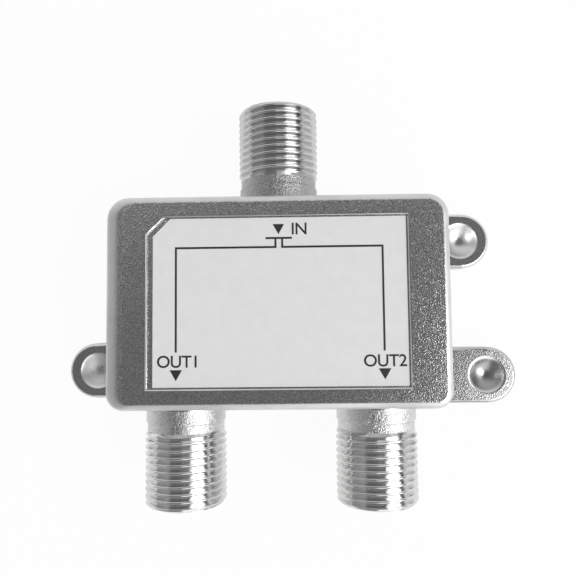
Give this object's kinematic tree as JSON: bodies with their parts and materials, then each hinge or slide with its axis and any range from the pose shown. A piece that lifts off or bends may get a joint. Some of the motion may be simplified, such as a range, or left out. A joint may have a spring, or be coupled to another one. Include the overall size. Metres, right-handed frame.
{
  "type": "coaxial splitter",
  "caption": "Die-cast splitter for coaxial cable: a threaded inlet feeds two threaded outlets, with screw ears on its sides and a plain printed label in a recess on its front.",
  "frame": {"origin": "middle of the back plane, which is the outer face of the back cover's stamped field and level with the backs of the ears", "axes": "+X across the outlets, from the left ear to the two right ears; +Y along the inlet port, away from the outlets; +Z out of the labelled front"},
  "size_m": [0.0572, 0.0462, 0.0152],
  "materials": {
    "cast_metal": "nickel plate over frosted zinc casting",
    "label_film": "matt white film with a black printed circuit line",
    "tin_plate": "tinned steel sheet",
    "board_laminate": "green solder mask",
    "nylon": "moulded white",
    "spring_brass": "bright strip",
    "ferrite": "matt grey",
    "enamelled_wire": "red enamel over copper",
    "diode_epoxy": "moulded black with tinned leads",
    "capacitor_coat": "dipped tan with tinned leads",
    "resistor_coat": "lacquered blue with tinned leads"
  },
  "bodies": {
    "root": {"housing": "cast_metal", "label": "label_film", "back_cover": "tin_plate", "circuit_board": "board_laminate", "in_insulator": "nylon", "out1_insulator": "nylon", "out2_insulator": "nylon", "in_plug": "nylon", "out1_plug": "nylon", "out2_plug": "nylon", "in_contact": "spring_brass", "out1_contact": "spring_brass", "out2_contact": "spring_brass", "matching_core": "ferrite", "matching_winding": "enamelled_wire", "splitting_core": "ferrite", "splitting_winding": "enamelled_wire", "out1_choke_core": "ferrite", "out1_choke_winding": "enamelled_wire", "out2_choke_core": "ferrite", "out2_choke_winding": "enamelled_wire", "out1_diode": "diode_epoxy", "out2_diode": "diode_epoxy", "in_capacitor": "capacitor_coat", "out1_capacitor": "capacitor_coat", "out2_capacitor": "capacitor_coat", "trimming_capacitor": "capacitor_coat", "balance_resistor": "resistor_coat"}
  },
  "joints": []
}
